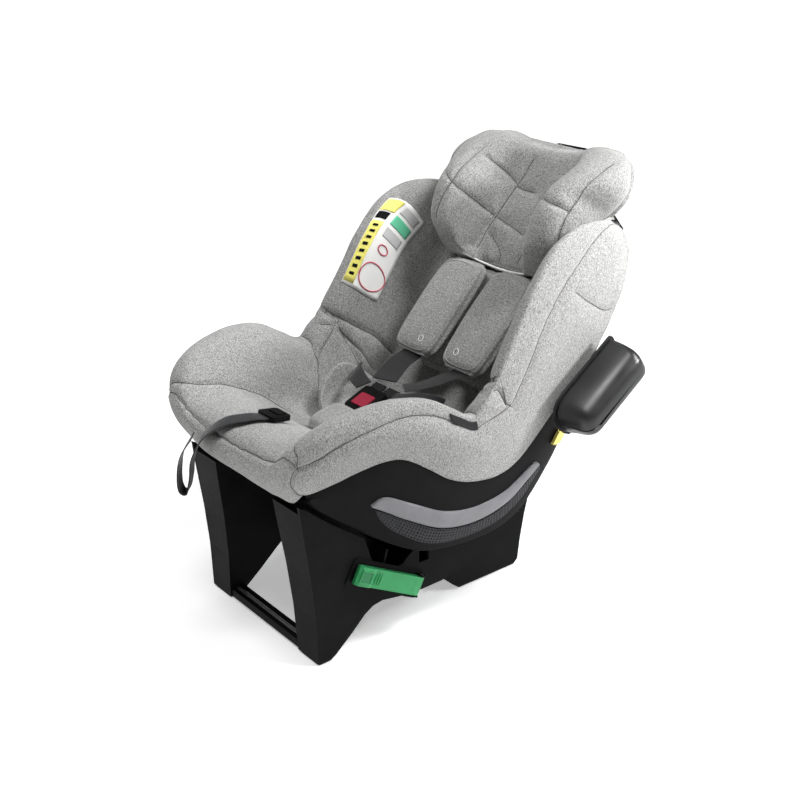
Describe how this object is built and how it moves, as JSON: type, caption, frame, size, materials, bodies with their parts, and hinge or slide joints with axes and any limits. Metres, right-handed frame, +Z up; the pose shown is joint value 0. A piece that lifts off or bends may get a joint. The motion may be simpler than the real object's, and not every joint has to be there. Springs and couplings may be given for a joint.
{
  "type": "convertible car seat",
  "caption": "Reclined bucket seat for a child with harness, sliding headrest, side pod and belt lock-off clips on a legged base.",
  "frame": {"origin": "centre of the rear foot's sole, on the floor", "axes": "+Z up; +Y towards the rear of the seat, behind the backrest; +X to the viewer's right when the seat is seen from the front, the side that carries the pod"},
  "size_m": [0.486, 0.6901, 0.6297],
  "materials": {
    "fabric": "melange woven fabric over foam",
    "foam": "expanded foam on a moulded plastic bucket",
    "black_plastic": "fine-textured moulded black",
    "grey_trim": "satin grey",
    "green_plastic": "satin green",
    "yellow_plastic": "satin yellow",
    "red_plastic": "satin red",
    "webbing": "woven polyester webbing",
    "steel": "satin steel",
    "rubber": "black rubber",
    "label": "printed satin patch"
  },
  "bodies": {
    "base": {"adjuster_housing": "black_plastic", "adjuster_strap": "webbing", "back_cover": "fabric", "back_top_trim": "black_plastic", "base_pan": "black_plastic", "belt_path_bar": "steel", "buckle_body": "black_plastic", "buckle_spring": "steel", "crotch_pad": "fabric", "crotch_strap": "webbing", "front_crossbar": "black_plastic", "front_rod": "steel", "harness_yoke": "steel", "inner_bucket": "foam", "insert_back_pad": "fabric", "insert_seat_pad": "fabric", "left_belt_guide": "yellow_plastic", "left_buckle_tongue": "steel", "left_clip_bracket": "black_plastic", "left_clip_pin": "steel", "left_front_foot_pad": "rubber", "left_lap_strap": "webbing", "left_pod_rail": "black_plastic", "left_shoulder_pad": "fabric", "left_shoulder_strap": "webbing", "left_side_grille": "black_plastic", "left_side_panel": "black_plastic", "left_side_trim": "grey_trim", "pull_strap": "webbing", "rear_foot": "black_plastic", "rear_foot_pad": "rubber", "right_belt_guide": "yellow_plastic", "right_buckle_tongue": "steel", "right_clip_bracket": "black_plastic", "right_clip_pin": "steel", "right_front_foot_pad": "rubber", "right_lap_strap": "webbing", "right_pod_rail": "black_plastic", "right_shoulder_pad": "fabric", "right_shoulder_strap": "webbing", "right_side_grille": "black_plastic", "right_side_panel": "black_plastic", "right_side_trim": "grey_trim", "seat_cover": "fabric", "seat_shell": "black_plastic", "sewn_label": "label", "side_tag": "black_plastic"},
    "headrest": {"headrest_pad": "fabric", "headrest_shell": "black_plastic", "headrest_tongue": "black_plastic", "handle_housing": "black_plastic", "handle_spring": "steel"},
    "headrest_handle": {"headrest_handle": "black_plastic"},
    "right_clip": {"right_belt_clip": "green_plastic"},
    "left_clip": {"left_belt_clip": "green_plastic"},
    "buckle_button": {"buckle_button": "red_plastic"},
    "adjuster_button": {"adjuster_button": "black_plastic"},
    "side_pod": {"pod_flange": "black_plastic", "pod_cover": "black_plastic", "pod_core": "foam"}
  },
  "joints": [
    {"name": "headrest_slide", "type": "slide", "parent": "base", "child": "headrest", "axis": [0, 0.5446, 0.8387], "range_m": [0, 0.11]},
    {"name": "handle_pull", "type": "slide", "parent": "headrest", "child": "headrest_handle", "axis": [0, 0.5446, 0.8387], "range_m": [0, 0.008], "stiffness_N_per_m": 1500, "deforming": ["handle_spring"]},
    {"name": "right_clip_hinge", "type": "hinge", "parent": "base", "child": "right_clip", "pos_m": [0.15177, -0.18189, 0.07334], "axis": [0, 0.4617, 0.887], "range_deg": [0, 70]},
    {"name": "left_clip_hinge", "type": "hinge", "parent": "base", "child": "left_clip", "pos_m": [-0.15177, -0.18189, 0.07334], "axis": [0, -0.4617, -0.887], "range_deg": [0, 70]},
    {"name": "buckle_button_press", "type": "slide", "parent": "base", "child": "buckle_button", "axis": [0, 0.3907, -0.9205], "range_m": [0, 0.003], "stiffness_N_per_m": 900, "deforming": ["buckle_spring"]},
    {"name": "adjuster_button_press", "type": "slide", "parent": "base", "child": "adjuster_button", "axis": [0, -0.1564, -0.9877], "range_m": [0, 0.003], "stiffness_N_per_m": 600},
    {"name": "pod_slide", "type": "slide", "parent": "base", "child": "side_pod", "axis": [0, 0.8141, 0.5807], "range_m": [0, 0.03]}
  ]
}
